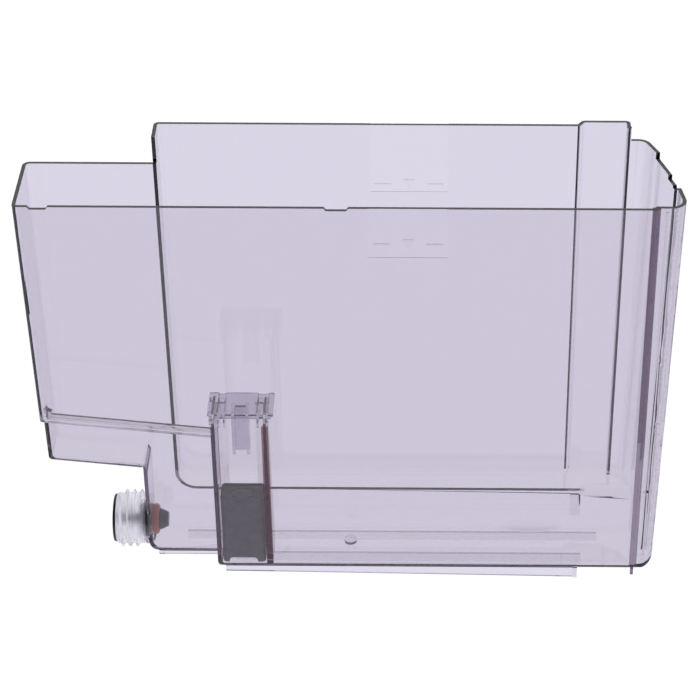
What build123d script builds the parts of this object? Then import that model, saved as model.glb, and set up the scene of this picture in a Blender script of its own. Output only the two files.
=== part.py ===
from build123d import *
import os
from math import copysign, cos, pi, radians, tan

# Fresh water tank of a bean-to-cup coffee machine, in millimetres, +Z up. It stands upright on the
# two runners under its floor. The origin is on that surface, under the middle of its outer box.

# ---- driving dimensions -------------------------------------------------------------------
LENGTH = 345.2          # outside, left to right, at the rim
WIDTH = 65.7            # outside, front to back, over the back pillar
WALL = 2.0              # moulded wall
DRAFT = 1.0             # degrees that the walls lean in towards the floor
FLOOR_UNDER = 5.7       # underside of the floor above the surface it stands on
LOW_RIM = 246.7         # rim of the front wall and the left section
SIDE_RIMS = ((22.7, 247.9), (29.1, 250.4), (45.5, 254.1))   # right wall: depth, rim from there back
HIGH_RIM = 261.6        # rim of the main back wall
LEFT_DEPTH = 45.4       # left section, front to back, at the rim
MAIN_DEPTH = 61.4       # main section, front to back, at the rim
POCKET_UNDER = 34.2     # underside of the back pocket
NECK_X = 54.8           # left wall of the lower body
JOG_X = 94.8            # wall where the recess in the lower front ends
RECESS_DEPTH = 15.5     # recess in the lower front, at its top
SLOPE = 6.1             # degrees that the shelf and the left section's floor fall to the right
SHELF_UNDER = 105.3     # underside of the shelf at the left wall
LEFT_UNDER = 71.2       # underside of the left section at its left wall
SIDE_FOOT = 341.8       # right wall at the floor
PORT_Y = 29.0           # outlet axis behind the front wall
PORT_Z = 21.6           # outlet axis above the surface it stands on
THREAD_D = 32.5         # over the crests of the outlet's thread
FLOAT_TRAVEL = 30.0     # rise of the float
FULL_LEVEL = 225.0      # full mark
MARK_X = 202.1          # middle of the full marks
STEPS_X = 319.0         # the right wall's stepped rim starts here
RIM_NOTCHES = ((7.1, 19.3), (158.3, 172.6))
NOTCH_DEPTH = 1.5
CHANNEL = (96.8, 122.8)     # inside of the float's channel, left and right
CHANNEL_BACK = 24.0     # back of its ribs
CHANNEL_TOP = 106.7     # top of its ribs
CAGE_TOP = 113.8        # top of the cage cap
CAGE_FRONT = 4.45       # front of the cage cap
GUTTERS = ((98.5, 102.6), (119.9, 126.1))   # the cap's two inverted gutters, left and right
FLOAT_X = (97.7, 121.7)     # the float, left and right
FLOAT_Y = (6.8, 21.5)   # the float, front and back
FLOAT_FOOT = 8.8        # the float's lower end at rest
FLOAT_HEIGHT = 44.7
STOP_FOOT = FLOAT_FOOT + FLOAT_HEIGHT + FLOAT_TRAVEL + 0.4   # where the float's rise ends
MAGNET_X = 110.0
MAGNET_Z = 44.5
RUNNERS = ((18, 104, 300), (37, 75, 310))   # each runner's depth, left end and right end
NECK_START = 51.95      # left end of the tank's outlet neck
NECK_BORE = 10.6        # radius of the bore that the spigot plugs into
MOUTH_X = 34.8          # mouth of the spigot
MOUTH_BORE = 9.0        # radius of the spigot's bore
SEAL_X = 36.4           # shoulder that the mouth seal sits against
ROOT_R = 14.5           # root of the thread
THREAD_PITCH = 4.15
SEAT_X = 56.1           # valve seat
HUB_X = 51.0            # stem guide
STEM_X = 38.6           # end of the valve's stem
STEM_R = 2.0
RETAINER_X = 40.1       # spring retainer on the stem
SPRING_WIRE = 0.7

LEAN = tan(radians(DRAFT))
FALL = tan(radians(SLOPE))
LEFT = -LENGTH / 2
FRONT = -WIDTH / 2
FLOOR_TOP = FLOOR_UNDER + WALL
OUTLET_AXIS = Axis((LEFT, FRONT + PORT_Y, PORT_Z), (1, 0, 0))


def level(z):
    """Plan plane at height z: x runs from the left wall, y from the front wall."""
    return Plane(origin=(LEFT, FRONT, z))


def upright(y):
    """Elevation plane y behind the front wall: x from the left wall, y up, facing the front."""
    return Plane(origin=(LEFT, FRONT + y, 0), x_dir=(1, 0, 0), z_dir=(0, -1, 0))


def sideways(x):
    """Side plane x from the left wall: x runs from the front wall, y up, facing right."""
    return Plane(origin=(LEFT + x, FRONT, 0), x_dir=(0, 1, 0), z_dir=(1, 0, 0))


def box(x, y, z, mode=Mode.ADD):
    """A block between two places on each axis, measured from the left wall, front wall and base."""
    with Locations((LEFT + x[0], FRONT + y[0], z[0])):
        Box(x[1] - x[0], y[1] - y[0], z[1] - z[0], align=(Align.MIN, Align.MIN, Align.MIN), mode=mode)


def barrel(start, end, radius, mode=Mode.ADD):
    """A cylinder along the outlet's axis, between two places measured from the left wall."""
    with BuildSketch(sideways(start)) as disc:
        with Locations((PORT_Y, PORT_Z)):
            Circle(radius)
    extrude(disc.sketch, amount=end - start, mode=mode)


# ---- tank shell ---------------------------------------------------------------------------
# Each corner of a plan: its place at the low rim, how the draft moves it in going down, and its
# radius outside and inside. The pocket's plan overlaps the main one.
MAIN_PLAN = [
    ((0, 0), (1, 1), 2.6, 0.8),
    ((330.5, 0), (-0.01, 1), 1.2, 0),
    ((330.5, 2), (-0.01, 1), 0.8, 0.8),
    ((346.1, 2), (-1, 1), 8, 6),
    ((342.9, 22.2), (-1, -0.01), 0.8, 0),
    ((340.8, 22.2), (-1, -0.01), 0, 0.8),
    ((333.2, 45.5), (-1, -0.2), 12, 10),
    ((327, 59.4), (-1, -1), 7, 5),
    ((300, 59.4), (0.01, -1), 0, 0),
    ((300, LEFT_DEPTH), (0.01, -1), 0, 0),
    ((0, LEFT_DEPTH), (1, -1), 4, 2),
]
POCKET_PLAN = [
    ((68, 30), (0.4, 0.01), 0, 0),
    ((318.5, 30), (-0.3, 0.01), 0, 0),
    ((318.5, 65.4), (-0.3, -1), 2.6, 0.8),
    ((293.4, 65.4), (0.1, -1), 2.6, 0.8),
    ((290.8, MAIN_DEPTH), (0.1, -1), 0, 1),
    ((68, MAIN_DEPTH), (0.4, -1), 3, 1),
]


def plan_face(plan, z, inset):
    """A plan's outline at height z, moved in by inset, with its upright corners rounded."""
    drop = (LOW_RIM - z) * LEAN
    with BuildSketch(level(z)) as outline:
        with BuildLine():
            Polyline(*[(x + mx * drop, y + my * drop) for (x, y), (mx, my), *r in plan], close=True)
        make_face()
        if inset:
            offset(amount=-inset, kind=Kind.INTERSECTION)
        for (x, y), (mx, my), outside, inside in plan:
            radius = inside if inset else outside
            if radius:
                place = (x + mx * drop + copysign(inset, mx), y + my * drop + copysign(inset, my), 0)
                fillet(outline.vertices().sort_by_distance(place)[0], radius)
    return outline.sketch.face()


def elevation_face(outline, inset, radii):
    """A front view's outline, moved in by inset, with the given corners rounded."""
    with BuildSketch(upright(-10)) as front:
        with BuildLine():
            Polyline(*outline, close=True)
        make_face()
        if inset:
            offset(amount=-inset, kind=Kind.INTERSECTION)
        for place, radius in radii:
            fillet(front.vertices().sort_by_distance((*place, 0))[0], radius)
    return front.sketch


def profile_face(x, outline, grow, place, radius):
    """A side view's outline at x, moved out by grow, with one corner rounded."""
    with BuildSketch(sideways(x)) as side:
        with BuildLine():
            Polyline(*outline, close=True)
        make_face()
        if grow:
            offset(amount=grow, kind=Kind.INTERSECTION)
        fillet(side.vertices().sort_by_distance((*place, 0))[0], radius)
    return side.sketch


def corner_face(plane, x, z, radius, inward=1):
    """What rounding a lower corner takes off: the corner is at x, z, with the solid above it and
    towards +x, or towards -x when inward is -1."""
    middle = (x + inward * radius * (1 - cos(pi / 4)), z + radius * (1 - cos(pi / 4)))
    with BuildSketch(plane) as waste:
        with BuildLine():
            Polyline((x + inward * radius, z), (x + inward * radius, z - 8), (x - inward * 8, z - 8),
                     (x - inward * 8, z + radius), (x, z + radius))
            ThreePointArc((x, z + radius), middle, (x + inward * radius, z))
        make_face()
    return waste.sketch


def pocket_form(inset):
    """The back pocket as a solid, with its large lower left corner and its pillar."""
    top = HIGH_RIM + (30 if inset else 0)
    side = 68 - 0.1 + 0.4 * (LOW_RIM - POCKET_UNDER) * LEAN
    outline = [(side, POCKET_UNDER), (360, POCKET_UNDER), (360, 300), (side - 0.4 * (300 - POCKET_UNDER) * LEAN, 300)]
    back = MAIN_DEPTH - (LOW_RIM - POCKET_UNDER) * LEAN - inset
    with BuildPart() as pocket:
        loft([plan_face(POCKET_PLAN, z, inset) for z in (top, FLOOR_UNDER)], ruled=True)
        extrude(elevation_face(outline, inset, [((side, POCKET_UNDER), 12 - inset)]),
                amount=-(WIDTH + 20), mode=Mode.INTERSECT)
        # rounded lower back edges, lower under the pillar
        for x, y, span in ((60, back, 233), (290.5 + inset, back + 4, 60)):
            extrude(corner_face(sideways(x), y, POCKET_UNDER + inset, 3.5 - inset, -1), amount=span,
                    mode=Mode.SUBTRACT)
    return pocket.part


def tank_form(inset):
    """The tank as a solid, its faces moved in by inset: 0 is the outside, WALL is the cavity.
    The cavity runs on up past the rims."""
    top = HIGH_RIM + (30 if inset else 0)
    knee = LEFT_UNDER - NECK_X * FALL
    toe = (LOW_RIM - LEFT_UNDER) * LEAN - 0.1
    outline = [(toe - (320 - LEFT_UNDER) * LEAN, 320), (toe, LEFT_UNDER), (NECK_X, knee), (NECK_X, FLOOR_UNDER),
               (SIDE_FOOT, FLOOR_UNDER), (SIDE_FOOT + (320 - FLOOR_UNDER) * LEAN, 320)]
    radii = [((toe, LEFT_UNDER), 5 - inset), ((NECK_X, knee), 3 + inset),
             ((NECK_X, FLOOR_UNDER), 9 - inset), ((SIDE_FOOT, FLOOR_UNDER), 10 - inset)]
    back = LEFT_DEPTH - 0.2 - LOW_RIM * LEAN
    under_pocket = [(back - 60 * LEAN, -60), (WIDTH + 80, -60), (WIDTH + 80, POCKET_UNDER),
                    (back + POCKET_UNDER * LEAN, POCKET_UNDER)]
    start = sideways(-10)
    shelf = SHELF_UNDER + 10 * FALL
    recess = [(-40, -60), (RECESS_DEPTH + (shelf + 60) * LEAN, -60), (RECESS_DEPTH, shelf), (-40, shelf)]
    recess_foot = RECESS_DEPTH + (shelf - FLOOR_UNDER) * LEAN
    down = {"dir": (1, 0, -FALL), "mode": Mode.SUBTRACT}
    run = 1 / cos(radians(SLOPE))
    with BuildPart() as form:
        loft([plan_face(MAIN_PLAN, z, inset) for z in (top, FLOOR_UNDER)], ruled=True)
        extrude(elevation_face(outline, inset, radii), amount=-(WIDTH + 20), mode=Mode.INTERSECT)
        extrude(profile_face(-10, under_pocket, inset, (back + POCKET_UNDER * LEAN, POCKET_UNDER), 5 + inset),
                amount=LENGTH + 30, mode=Mode.SUBTRACT)
        # rounded lower edges: front and back of the floor, then of the left section
        extrude(corner_face(start, (LOW_RIM - FLOOR_UNDER) * LEAN + inset, FLOOR_UNDER + inset, 3.5 - inset),
                amount=LENGTH + 30, mode=Mode.SUBTRACT)
        extrude(corner_face(start, back + FLOOR_UNDER * LEAN - inset, FLOOR_UNDER + inset, 3.5 - inset, -1),
                amount=LENGTH + 30, mode=Mode.SUBTRACT)
        under = LEFT_UNDER + 10 * FALL + inset
        extrude(corner_face(start, LEFT_DEPTH - (LOW_RIM - 68) * LEAN - inset, under, 4 - inset, -1),
                amount=(NECK_X + 10) * run, **down)
        # recess in the lower front, under the sloping shelf, with its own rounded edges
        extrude(profile_face(-10, recess, inset, (RECESS_DEPTH, shelf), 2 + inset),
                amount=(JOG_X + 10 + inset) * run, **down)
        extrude(corner_face(start, (LOW_RIM - 100) * LEAN + inset, shelf + inset, 7 - inset),
                amount=(JOG_X + 10 + inset) * run, **down)
        extrude(corner_face(start, recess_foot + inset, FLOOR_UNDER + inset, 3.5 - inset),
                amount=JOG_X + 10 + inset, mode=Mode.SUBTRACT)
        extrude(corner_face(start, RECESS_DEPTH + (shelf - 68) * LEAN + inset, under, 4 - inset),
                amount=(NECK_X + 10) * run, **down)
        extrude(corner_face(upright(RECESS_DEPTH + inset), (LOW_RIM - SHELF_UNDER) * LEAN + inset,
                            SHELF_UNDER + inset, 5 - inset), amount=40, mode=Mode.SUBTRACT)
        # rounded lower left corner of the jog
        extrude(corner_face(upright(-5), JOG_X + inset, FLOOR_UNDER + inset, 5 - inset),
                amount=-(5 + recess_foot + inset), mode=Mode.SUBTRACT)
        add(pocket_form(inset))
    return form.part


def front_face(z):
    """Where the outside of the front wall is at height z."""
    return (LOW_RIM - z) * LEAN


def rib(foot, top, back, foot_x, top_x):
    """A plate that stands on the floor against the front wall and thickens towards its foot."""
    faces = []
    for z, (x0, x1) in ((foot, foot_x), (top, top_x)):
        front = front_face(z) + WALL / 2
        with BuildSketch(level(z)) as section:
            with BuildLine():
                Polyline((x0, front), (x1, front), (x1, back), (x0, back), close=True)
            make_face()
        faces.append(section.sketch.face())
    loft(faces, ruled=True)


def leaning_bar(x, depth, z):
    """An upright bar that leans with the front wall, its depths counted from the wall's outside."""
    with BuildSketch(sideways(x[0])) as side:
        with BuildLine():
            Polyline(*[(depth[near] + front_face(z[up]), z[up]) for near, up in ((1, 0), (0, 0), (0, 1), (1, 1))],
                     close=True)
        make_face()
    extrude(side.sketch, amount=x[1] - x[0])


def field_side(front, back, foot, depth):
    """Side view of the shallow field round a level mark, on a wall that leans with the draft."""
    toward = 1 if front < back else -1
    with BuildSketch(sideways(0)) as side:
        with BuildLine():
            Polyline((front, foot), (back + toward * (front_face(foot) + depth), foot),
                     (back + toward * (front_face(280) + depth), 280), (front, 280), close=True)
        make_face()
    return side.sketch


def level_mark(face_y, out):
    """Two raised dashes and a triangle that points down at the full level, on a wall's outside."""
    with BuildSketch(upright(face_y)) as mark:
        with Locations((MARK_X - 13.8, FULL_LEVEL), (MARK_X + 13.8, FULL_LEVEL)):
            Rectangle(9, 0.9)
        with Locations((MARK_X, FULL_LEVEL + 1.5)):
            Triangle(a=6, b=5.5, c=5.5, rotation=180)
    extrude(mark.sketch, amount=out)


with BuildPart() as tank_shell:
    add(tank_form(0))
    add(tank_form(WALL), mode=Mode.SUBTRACT)
    # the rims: low over the front and the left section, then stepped up towards the back at the right
    box((-5, STEPS_X), (-5, LEFT_DEPTH + 0.6), (LOW_RIM, 320), Mode.SUBTRACT)
    start, rim = -5, LOW_RIM
    for depth, next_rim in (*SIDE_RIMS, (WIDTH + 20, None)):
        box((STEPS_X, LENGTH + 20), (start, depth), (rim, 320), Mode.SUBTRACT)
        start, rim = depth, next_rim
    # shallow notches with sloping ends in the front rim
    for left, right in RIM_NOTCHES:
        with BuildSketch(upright(-1)) as notch:
            with BuildLine():
                Polyline((left, LOW_RIM + 1), (left + 2, LOW_RIM - NOTCH_DEPTH),
                         (right - 2, LOW_RIM - NOTCH_DEPTH), (right, LOW_RIM + 1), close=True)
            make_face()
        extrude(notch.sketch, amount=-(WALL + 1.5), mode=Mode.SUBTRACT)
    # the float's channel: two ribs with return flanges, up to the cage cap
    foot = FLOOR_TOP - 0.5
    rib(foot, CHANNEL_TOP, CHANNEL_BACK, (CHANNEL[0] - 1.4, CHANNEL[0]), (CHANNEL[0] - 1.4, CHANNEL[0]))
    rib(foot, CHANNEL_TOP, CHANNEL_BACK, (CHANNEL[1] - 0.2, CHANNEL[1] + 3.2), (CHANNEL[1] + 0.5, CHANNEL[1] + 2.1))
    for x in ((CHANNEL[0] - 0.5, CHANNEL[0] + 5), (CHANNEL[1] - 5, CHANNEL[1] + 1.2)):
        box(x, (CHANNEL_BACK - 1.5, CHANNEL_BACK), (foot, CHANNEL_TOP))
    # under the floor: the wedge rib along the front with its end posts, a ledge under the recess's
    # edge, and the two runners that it stands on
    with BuildSketch(upright(4.9)) as wedge:
        with BuildLine():
            Polyline((99, 7.4), (99, 2.9), (296.5, 0), (296.5, 7.4), close=True)
        make_face()
    extrude(wedge.sketch, amount=-1.5)
    box((295, 297.5), (4, 6.5), (0, 8))
    box((327.5, 329.2), (3.5, 6), (3, 8))
    box((60, JOG_X + 0.3), (17.6, 19.2), (4.3, 8.2))
    for (y, x0, x1) in RUNNERS:
        box((x0, x1), (y - 0.8, y + 0.8), (0, FLOOR_UNDER + 0.5))
    # outlet neck with its collar and its bore
    barrel(NECK_START, 56.5, 13)
    barrel(NECK_START + 1.3, NECK_START + 2.7, 14.7)
    barrel(NECK_START - 1, 57.6, NECK_BORE, Mode.SUBTRACT)
    # level marks, each in a shallow field that runs up to the rim, outside the front and the back wall
    extrude(field_side(-3, 0, 217.1, 0.25).moved(Location((181.5, 0, 0))), amount=41.2, mode=Mode.SUBTRACT)
    extrude(field_side(WIDTH + 3, MAIN_DEPTH, 220.7, 0.25).moved(Location((181.5, 0, 0))), amount=41.2,
            mode=Mode.SUBTRACT)
    level_mark(front_face(FULL_LEVEL) + 0.6, 0.65)
    level_mark(MAIN_DEPTH - front_face(FULL_LEVEL) - 0.6, -0.65)
    # upright bead on the right corner's front, and the thick root inside the set-back beside it
    leaning_bar((333.9, 334.9), (1.2, 2.6), (15.7, 60.7))
    leaning_bar((333.9, 334.9), (1.2, 2.6), (62.5, 244.5))
    leaning_bar((326.9, 328.9), (1, 4.2), (FLOOR_TOP - 0.4, LOW_RIM - 0.8))
    # on the floor: a crescent at the back wall's foot, a gate mark, a ring; a bump low on the back wall
    with BuildSketch(level(FLOOR_TOP - 0.3)) as crescent:
        with Locations((272, 96)):
            Circle(60)
        with Locations((272, 30.4)):
            Rectangle(50, 20, mode=Mode.INTERSECT)
    extrude(crescent.sketch, amount=2.4)
    with BuildSketch(level(FLOOR_TOP - 0.3)) as gate:
        with Locations((169, 27)):
            Circle(3.5)
    extrude(gate.sketch, amount=2.2)
    with BuildSketch(level(FLOOR_TOP - 0.3)) as ring:
        with Locations((122.5, 25)):
            Circle(12)
            Circle(11.2, mode=Mode.SUBTRACT)
    extrude(ring.sketch, amount=0.5)
    with BuildSketch(upright(38)) as bump:
        with Locations((297.1, 26.2)):
            RectangleRounded(5.8, 17, 2)
    extrude(bump.sketch, amount=-2.5)
tank_shell.part.label = "tank_shell"


# ---- float and its cage cap -------------------------------------------------------------------
with BuildPart() as float_cage_cap:
    box((93.3, 129), (CAGE_FRONT, CHANNEL_BACK + 0.8), (CAGE_TOP - 1.6, CAGE_TOP))
    fillet(float_cage_cap.edges().filter_by(Axis.Z), 1.2)
    # the bar along the front
    box((94.5, 127.8), (CAGE_FRONT, CAGE_FRONT + 1.6), (CAGE_TOP - 3, CAGE_TOP - 1))
    # a shallow groove over each gutter, front to back
    for x0, x1 in GUTTERS:
        with BuildSketch(upright(CAGE_FRONT + 1.6)) as groove:
            with Locations(((x0 + x1) / 2, CAGE_TOP)):
                SlotOverall(x1 - x0, 1.6)
        extrude(groove.sketch, amount=-40, mode=Mode.SUBTRACT)
        # the gutter's two legs, with rounded ends
        for x in (x0, x1 - 0.9):
            with BuildSketch(sideways(x)) as leg:
                with Locations((CAGE_FRONT + 9, CHANNEL_TOP + 1.3)):
                    RectangleRounded(16, 10, 2.4)
            extrude(leg.sketch, amount=0.9)
        box((x0, x1), (CAGE_FRONT + 1, CAGE_FRONT + 17), (CAGE_TOP - 2.8, CAGE_TOP - 1.2))
    # webs that stand on the rib tops, and the prong outside the left rib
    for x0, x1 in ((CHANNEL[0] - 1.3, CHANNEL[0] - 0.1), (CHANNEL[1] + 0.7, CHANNEL[1] + 1.9)):
        box((x0, x1), (CAGE_FRONT + 1, CHANNEL_BACK - 2), (CHANNEL_TOP + 0.05, CAGE_TOP - 1))
    with BuildSketch(sideways(CHANNEL[0] - 3)) as prong:
        with Locations((CAGE_FRONT + 10, CHANNEL_TOP + 1.3)):
            RectangleRounded(14, 10, 2.4)
    extrude(prong.sketch, amount=1.4)
    # the float's stop: two plates and their web
    for x0 in (105.9, 113.6):
        box((x0, x0 + 1.7), (8, 17), (STOP_FOOT, CAGE_TOP - 1))
    box((106.5, 114.7), (12.3, 13.7), (STOP_FOOT, CAGE_TOP - 1))
float_cage_cap.part.label = "float_cage_cap"

with BuildPart() as float_shell:
    box(FLOAT_X, FLOAT_Y, (FLOAT_FOOT, FLOAT_FOOT + FLOAT_HEIGHT))
    fillet(float_shell.edges().filter_by(Axis.Z), 2.2)
    inner = [(low + 1.1, high - 1.1) for low, high in (FLOAT_X, FLOAT_Y)]
    with BuildSketch(level(FLOAT_FOOT + 4.4)) as hollow:
        with Locations(((FLOAT_X[0] + FLOAT_X[1]) / 2, (FLOAT_Y[0] + FLOAT_Y[1]) / 2)):
            RectangleRounded(inner[0][1] - inner[0][0], inner[1][1] - inner[1][0], 1.3)
    extrude(hollow.sketch, amount=FLOAT_HEIGHT, mode=Mode.SUBTRACT)
    # arch along the bottom
    with BuildSketch(upright(0)) as arch:
        with Locations((109.2, FLOAT_FOOT)):
            RectangleRounded(16, 6, 2.2)
    extrude(arch.sketch, amount=-40, mode=Mode.SUBTRACT)
float_shell.part.label = "float_shell"

with BuildPart() as float_lid:
    plug = [(low + 1.15, high - 1.15) for low, high in (FLOAT_X, FLOAT_Y)]
    with BuildSketch(level(FLOAT_FOOT + FLOAT_HEIGHT - 2.4)) as plate:
        with Locations(((FLOAT_X[0] + FLOAT_X[1]) / 2, (FLOAT_Y[0] + FLOAT_Y[1]) / 2)):
            RectangleRounded(plug[0][1] - plug[0][0], plug[1][1] - plug[1][0], 1.25)
    extrude(plate.sketch, amount=2)
    # the lid dishes along its length
    with BuildSketch(upright(0)) as dish:
        with Locations((109.7, FLOAT_FOOT + FLOAT_HEIGHT + 79.2)):
            Circle(80)
    extrude(dish.sketch, amount=-40, mode=Mode.SUBTRACT)
    # oval mark
    with BuildSketch(level(FLOAT_FOOT + FLOAT_HEIGHT - 1.2)) as mark:
        with Locations((MAGNET_X, 13.2)):
            Ellipse(7, 5)
            Ellipse(6.3, 4.3, mode=Mode.SUBTRACT)
    extrude(mark.sketch, amount=3, mode=Mode.SUBTRACT)
float_lid.part.label = "float_lid"

with BuildPart() as float_magnet:
    with BuildSketch(upright(FLOAT_Y[0] + 1.15)) as disc:
        with Locations((MAGNET_X, MAGNET_Z)):
            Circle(4.2)
    extrude(disc.sketch, amount=-3)
    chamfer(float_magnet.edges(), 0.3)
float_magnet.part.label = "float_magnet"


# ---- outlet -----------------------------------------------------------------------------------
def turned(*outline):
    """A solid of revolution about the outlet's axis, from points along it and out from it."""
    with BuildSketch(Plane(origin=(LEFT, FRONT + PORT_Y, PORT_Z), x_dir=(1, 0, 0), z_dir=(0, -1, 0))) as half:
        with BuildLine():
            Polyline(*outline, close=True)
        make_face()
    revolve(half.sketch, axis=OUTLET_AXIS)


with BuildPart() as outlet_spigot:
    turned((MOUTH_X, MOUTH_BORE), (MOUTH_X, 12.2), (SEAL_X, 12.2), (SEAL_X, 13.6), (SEAL_X + 0.7, ROOT_R),
           (NECK_START - 0.05, ROOT_R), (NECK_START - 0.05, NECK_BORE - 0.1), (53.2, NECK_BORE - 0.1),
           (53.2, 9.7), (55.2, 9.7), (55.2, NECK_BORE - 0.1), (SEAT_X, NECK_BORE - 0.1), (SEAT_X, MOUTH_BORE))
    # the thread
    with BuildLine() as thread_line:
        Helix(pitch=THREAD_PITCH, height=3 * THREAD_PITCH, radius=ROOT_R, direction=(1, 0, 0),
              center=(LEFT + SEAL_X + 1.6, FRONT + PORT_Y, PORT_Z))
    start = thread_line.line @ 0
    outward = start - Vector(start.X, FRONT + PORT_Y, PORT_Z)
    with BuildSketch(Plane(origin=start, x_dir=outward, z_dir=thread_line.line % 0)) as tooth:
        with BuildLine():
            Polyline((-0.4, -1.4), (THREAD_D / 2 - ROOT_R, -0.25), (THREAD_D / 2 - ROOT_R, 0.25), (-0.4, 1.4), close=True)
        make_face()
    sweep(tooth.sketch, path=thread_line.line, is_frenet=True)
outlet_spigot.part.label = "outlet_spigot"

with BuildPart() as mouth_seal:
    turned((MOUTH_X + 0.1, 12.25), (MOUTH_X + 0.1, 13.3), (MOUTH_X + 0.3, 13.55), (SEAL_X - 0.25, 13.55),
           (SEAL_X - 0.05, 13.3), (SEAL_X - 0.05, 12.25))
mouth_seal.part.label = "mouth_seal"

with BuildPart() as spigot_seal:
    turned((53.25, 9.75), (53.25, 10.3), (53.5, 10.57), (54.9, 10.57), (55.15, 10.3), (55.15, 9.75))
spigot_seal.part.label = "spigot_seal"

with BuildPart() as valve_body:
    barrel(49.5, SEAT_X, MOUTH_BORE - 0.05)
    barrel(49, SEAT_X - 1.5, 7.6, Mode.SUBTRACT)
    barrel(49, SEAT_X + 1, 5, Mode.SUBTRACT)
    # the stem's guide on three spokes
    barrel(HUB_X, HUB_X + 2.5, 3.4)
    for turn in (90, 210, 330):
        with BuildSketch(sideways(HUB_X)) as spoke:
            with Locations((PORT_Y, PORT_Z)):
                with PolarLocations(5.4, 1, turn):
                    Rectangle(5.4, 1.4)
        extrude(spoke.sketch, amount=2)
    barrel(HUB_X - 1, HUB_X + 4, STEM_R + 0.05, Mode.SUBTRACT)
valve_body.part.label = "valve_body"

with BuildPart() as valve_poppet:
    turned((STEM_X, 0), (STEM_X, 1.2), (STEM_X + 0.4, 1.6), (RETAINER_X + 1.4, 1.6), (RETAINER_X + 1.4, STEM_R),
           (56.25, STEM_R), (56.25, 4.6), (60.42, 4.6), (60.42, 6), (61.4, 6), (65.4, 4.1), (65.4, 0))
valve_poppet.part.label = "valve_poppet"

with BuildPart() as poppet_o_ring:
    with BuildSketch(Plane(origin=(LEFT, FRONT + PORT_Y, PORT_Z), x_dir=(1, 0, 0), z_dir=(0, -1, 0))) as section:
        with Locations((58.3, 6.75)):
            Circle(2.1)
    revolve(section.sketch, axis=OUTLET_AXIS)
poppet_o_ring.part.label = "poppet_o_ring"

with BuildPart() as spring_retainer:
    barrel(RETAINER_X, RETAINER_X + 1.35, 4)
    barrel(RETAINER_X - 1, RETAINER_X + 3, 1.65, Mode.SUBTRACT)
spring_retainer.part.label = "spring_retainer"

with BuildPart() as valve_spring:
    first = RETAINER_X + 1.4 + SPRING_WIRE / 2
    with BuildLine() as coil:
        Helix(pitch=(HUB_X - first - 0.4) / 4, height=HUB_X - first - 0.4, radius=3, direction=(1, 0, 0),
              center=(LEFT + first, FRONT + PORT_Y, PORT_Z))
    with BuildSketch(Plane(origin=coil.line @ 0, z_dir=coil.line % 0)) as wire:
        Circle(SPRING_WIRE / 2)
    sweep(wire.sketch, path=coil.line, is_frenet=True)
valve_spring.part.label = "valve_spring"


# ---- one STEP for each piece --------------------------------------------------------------------
os.makedirs("parts", exist_ok=True)
for piece in (tank_shell, float_cage_cap, float_shell, float_lid, float_magnet, outlet_spigot, mouth_seal,
              spigot_seal, valve_body, valve_poppet, poppet_o_ring, spring_retainer, valve_spring):
    export_step(piece.part, f"parts/{piece.part.label}.step")
    print(piece.part.label, piece.part.is_valid, len(piece.part.solids()), round(piece.part.volume))
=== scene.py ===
from math import radians

import bpy
from mathutils import Matrix

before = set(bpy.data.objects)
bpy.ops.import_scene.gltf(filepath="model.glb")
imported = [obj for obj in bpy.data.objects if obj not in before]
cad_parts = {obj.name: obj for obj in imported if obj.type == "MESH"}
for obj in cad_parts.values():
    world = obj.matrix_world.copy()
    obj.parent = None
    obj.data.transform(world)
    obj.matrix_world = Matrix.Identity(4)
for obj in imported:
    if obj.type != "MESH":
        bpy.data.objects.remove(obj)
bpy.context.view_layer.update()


# ---- Tank shell ----------------------------------------------------------------------------
# One injection moulding in clear, faintly violet copolyester, 2 mm thick, open at the top. The plastic takes
# up light with depth. That alone leaves the cut rims, the upright step in the front wall and the two
# ribs of the float's channel too pale, so painted shade darkens them by place, and the rims are made satin.
def new_material(name, piece, **looks):
    """A material for a whole piece, with the given inputs set."""
    material = bpy.data.materials.new(name)
    material.use_nodes = True
    shader = material.node_tree.nodes["Principled BSDF"]
    for socket, value in looks.items():
        shader.inputs[socket.replace("_", " ")].default_value = value
    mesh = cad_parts[piece].data
    mesh.materials.clear()
    mesh.materials.append(material)
    return material


shell_tint = (0.317, 0.225, 0.35)       # the share of each colour that a metre of plastic spares
shell_density = 108                     # per metre

clear_plastic = new_material("clear_violet_plastic", "tank_shell", Base_Color=(1, 1, 1, 1),
                             Transmission_Weight=1, IOR=1.57, Roughness=0.0)
tree = clear_plastic.node_tree
surface = tree.nodes["Principled BSDF"]
absorption = tree.nodes.new("ShaderNodeVolumeAbsorption")
absorption.inputs["Color"].default_value = (*shell_tint, 1)
absorption.inputs["Density"].default_value = shell_density
tree.links.new(absorption.outputs["Volume"], tree.nodes["Material Output"].inputs["Volume"])

coordinates = tree.nodes.new("ShaderNodeTexCoord")
place_in_shell = tree.nodes.new("ShaderNodeSeparateXYZ")
tree.links.new(coordinates.outputs["Object"], place_in_shell.inputs["Vector"])
facing = tree.nodes.new("ShaderNodeSeparateXYZ")
tree.links.new(coordinates.outputs["Normal"], facing.inputs["Vector"])


def between(output, start, stop, scale=0.001):
    """1 where a value lies between two others, in millimetres, and 0 elsewhere."""
    test = tree.nodes.new("ShaderNodeMath")
    test.operation = "COMPARE"
    tree.links.new(output, test.inputs[0])
    test.inputs[1].default_value = (start + stop) / 2 * scale
    test.inputs[2].default_value = (stop - start) / 2 * scale
    return test.outputs["Value"]


def both(first, second):
    """The product of two factors."""
    product = tree.nodes.new("ShaderNodeMath")
    product.operation = "MULTIPLY"
    tree.links.new(first, product.inputs[0])
    tree.links.new(second, product.inputs[1])
    return product.outputs["Value"]
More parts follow.
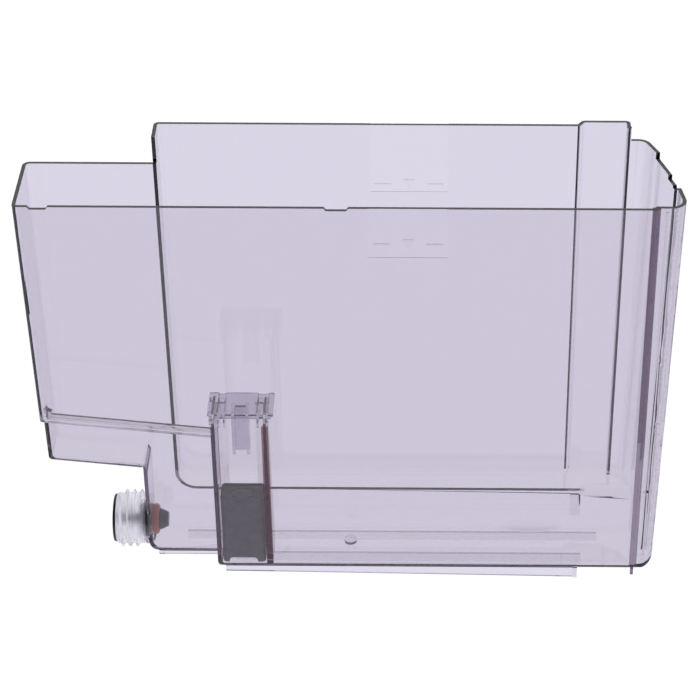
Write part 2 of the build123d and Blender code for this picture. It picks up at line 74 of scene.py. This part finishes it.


# where each patch of painted shade lies, in millimetres of the frame: left to right, front to back, and up
rim_heights = (246, 263)
step_across, step_deep = (154.2, 158.4), (-34, -26)
ribs_deep, ribs_high = (-31, -8.5), (8.5, 106)
left_rib_across, right_rib_across = (-77.9, -75.6), (-50.3, -46.5)

across, deep, up = (place_in_shell.outputs[axis] for axis in "XYZ")
# painted shade: the flat rim tops are greyed where light is trapped in the cut faces; only their satin
# roughness is real
rim_faces = both(between(up, *rim_heights), between(facing.outputs["Z"], 0.9, 1.1, 1))
# painted shade: the upright front step and the two ribs of the float's channel are darkened, the right rib
# reddish brown, where thick plastic bends and swallows the light
front_step = both(between(across, *step_across), between(deep, *step_deep))
low_channel = both(between(deep, *ribs_deep), between(up, *ribs_high))
left_rib = both(between(across, *left_rib_across), low_channel)
right_rib = both(between(across, *right_rib_across), low_channel)
colour = None
# each mask's painted shade colour is mixed over white into the shell's base colour
for factor, shade_colour in ((rim_faces, (0.55, 0.53, 0.55, 1)), (front_step, (0.28, 0.22, 0.28, 1)),
                     (left_rib, (0.34, 0.28, 0.34, 1)), (right_rib, (0.42, 0.24, 0.25, 1))):
    mix = tree.nodes.new("ShaderNodeMix")
    mix.data_type = "RGBA"
    tree.links.new(factor, mix.inputs["Factor"])
    if colour:
        tree.links.new(colour, mix.inputs["A"])
    else:
        mix.inputs["A"].default_value = (1, 1, 1, 1)
    mix.inputs["B"].default_value = shade_colour
    colour = mix.outputs["Result"]
tree.links.new(colour, surface.inputs["Base Color"])
rim_roughness = 0.35
satin = tree.nodes.new("ShaderNodeMath")
satin.operation = "MULTIPLY"
tree.links.new(rim_faces, satin.inputs[0])
satin.inputs[1].default_value = rim_roughness
tree.links.new(satin.outputs["Value"], surface.inputs["Roughness"])


# ---- Float cage cap ------------------------------------------------------------------------
# A small clear moulding in a darker, smoky plastic that clips over the two ribs of the float's channel
# and carries the stop for the float. It is thin, so its edges draw the dark lines.
new_material("smoky_clear_plastic", "float_cage_cap", Base_Color=(0.62, 0.59, 0.68, 1), Transmission_Weight=1,
             IOR=1.62, Roughness=0.0)


# ---- Float -----------------------------------------------------------------------------------
# A dark grey box, moulded thin and closed by a glued lid with an oval mark. The plastic is semi-gloss
# and slightly cloudy, so its grey drifts a little from place to place.
for piece in ("float_shell", "float_lid"):
    cloudy = new_material("cloudy_" + piece, piece, Roughness=0.32, IOR=1.5)
    nodes, links = cloudy.node_tree.nodes, cloudy.node_tree.links
    own_place = nodes.new("ShaderNodeTexCoord")
    clouds = nodes.new("ShaderNodeTexNoise")
    clouds.inputs["Scale"].default_value = 220
    clouds.inputs["Detail"].default_value = 3
    greys = nodes.new("ShaderNodeMix")
    greys.data_type = "RGBA"
    greys.inputs["A"].default_value = (0.07, 0.063, 0.078, 1)
    greys.inputs["B"].default_value = (0.22, 0.2, 0.235, 1)
    links.new(own_place.outputs["Object"], clouds.inputs["Vector"])
    links.new(clouds.outputs["Fac"], greys.inputs["Factor"])
    links.new(greys.outputs["Result"], nodes["Principled BSDF"].inputs["Base Color"])


# ---- Float magnet ------------------------------------------------------------------------------
# A pressed ferrite disc, dark and matt, shut inside the float behind its front wall.
new_material("dark_ferrite", "float_magnet", Base_Color=(0.03, 0.03, 0.034, 1), Roughness=0.6)


# ---- Outlet spigot ---------------------------------------------------------------------------
# A threaded spout in milky, slightly bluish polypropylene that lets light through, turned into the
# tank's neck and sealed there.
new_material("milky_plastic", "outlet_spigot", Base_Color=(1, 0.995, 1, 1), Transmission_Weight=0.93,
             IOR=1.3, Roughness=0.6)


# ---- Valve body --------------------------------------------------------------------------------
# The seat and the stem's guide, one small moulding in the same milky plastic, pressed into the spigot.
new_material("milky_valve_plastic", "valve_body", Base_Color=(0.93, 0.93, 0.97, 1), Transmission_Weight=0.5,
             IOR=1.45, Roughness=0.5)


# ---- Seals of the spigot -----------------------------------------------------------------------
# Two rings in black nitrile rubber, satin: one round the mouth, one between the spigot and the neck.
for piece in ("mouth_seal", "spigot_seal"):
    new_material("black_rubber_" + piece, piece, Base_Color=(0.012, 0.011, 0.014, 1), Roughness=0.5)


# ---- Valve poppet and its spring retainer ------------------------------------------------------
# Two turned looking mouldings in mid grey acetal, satin. The retainer snaps on the end of the stem.
for piece, grey in (("valve_poppet", (0.15, 0.14, 0.175, 1)), ("spring_retainer", (0.2, 0.195, 0.22, 1))):
    new_material("grey_acetal_" + piece, piece, Base_Color=grey, Roughness=0.4)


# ---- Poppet O-ring -----------------------------------------------------------------------------
# A soft orange red silicone ring that closes the valve against its seat, satin.
new_material("orange_silicone", "poppet_o_ring", Base_Color=(1, 0.3, 0.23, 1), Roughness=0.42)


# ---- Valve spring ------------------------------------------------------------------------------
# Bright drawn stainless wire, coiled round the stem between the guide and the retainer.
new_material("drawn_steel", "valve_spring", Base_Color=(0.62, 0.62, 0.64, 1), Metallic=1.0, Roughness=0.24)


# ---- Floor, light and camera ---------------------------------------------------------------
# A glowing floor and a sky that is bright behind and dim in front. The floor is white to the camera but
# pale violet to every other ray, so part of the violet seen in the clear pieces is staging: under a
# neutral light they look greyer.
floor_in_view = (1.02, 1.02, 1.02, 1)
floor_through_plastic = (0.83, 0.81, 0.93, 1)
dim_sky, bright_sky, sky_turn = 0.12, 1.0, 0.35
bpy.ops.mesh.primitive_plane_add(size=6, location=(0, 0, 0))
floor = bpy.context.object
floor.name = "studio_floor"
pale = bpy.data.materials.new("pale_floor")
pale.use_nodes = True
nodes, links = pale.node_tree.nodes, pale.node_tree.links
nodes.clear()
path = nodes.new("ShaderNodeLightPath")
seen = nodes.new("ShaderNodeMix")
seen.data_type = "RGBA"
seen.inputs["A"].default_value = floor_through_plastic
seen.inputs["B"].default_value = floor_in_view
glow = nodes.new("ShaderNodeEmission")
out = nodes.new("ShaderNodeOutputMaterial")
links.new(path.outputs["Is Camera Ray"], seen.inputs["Factor"])
links.new(seen.outputs["Result"], glow.inputs["Color"])
links.new(glow.outputs["Emission"], out.inputs["Surface"])
floor.data.materials.append(pale)

world = bpy.data.worlds.new("studio")
world.use_nodes = True
bpy.context.scene.world = world
nodes, links = world.node_tree.nodes, world.node_tree.links
background = nodes["Background"]
place = nodes.new("ShaderNodeTexCoord")
split = nodes.new("ShaderNodeSeparateXYZ")
ramp = nodes.new("ShaderNodeMapRange")
ramp.interpolation_type = "SMOOTHSTEP"
ramp.inputs["From Min"].default_value = -sky_turn
ramp.inputs["From Max"].default_value = sky_turn
ramp.inputs["To Min"].default_value = dim_sky
ramp.inputs["To Max"].default_value = bright_sky
links.new(place.outputs["Generated"], split.inputs["Vector"])
links.new(split.outputs["Y"], ramp.inputs["Value"])
links.new(ramp.outputs["Result"], background.inputs["Color"])

camera_data = bpy.data.cameras.new("camera")
camera = bpy.data.objects.new("camera", camera_data)
bpy.context.scene.collection.objects.link(camera)
pitch, yaw, roll = radians(34.92), radians(-0.24), radians(0.19)
camera_place = (0.0415, -1.10835, 0.9103)
camera.matrix_world = (Matrix.Translation(camera_place) @ Matrix.Rotation(-yaw, 4, "Z")
                       @ Matrix.Rotation(radians(90) - pitch, 4, "X") @ Matrix.Rotation(roll, 4, "Z"))
camera_data.sensor_width = 36
camera_data.lens = 127.6
camera_data.shift_x = -0.103
camera_data.clip_start = 0.05
bpy.context.scene.camera = camera
bpy.context.scene.view_settings.view_transform = "Standard"
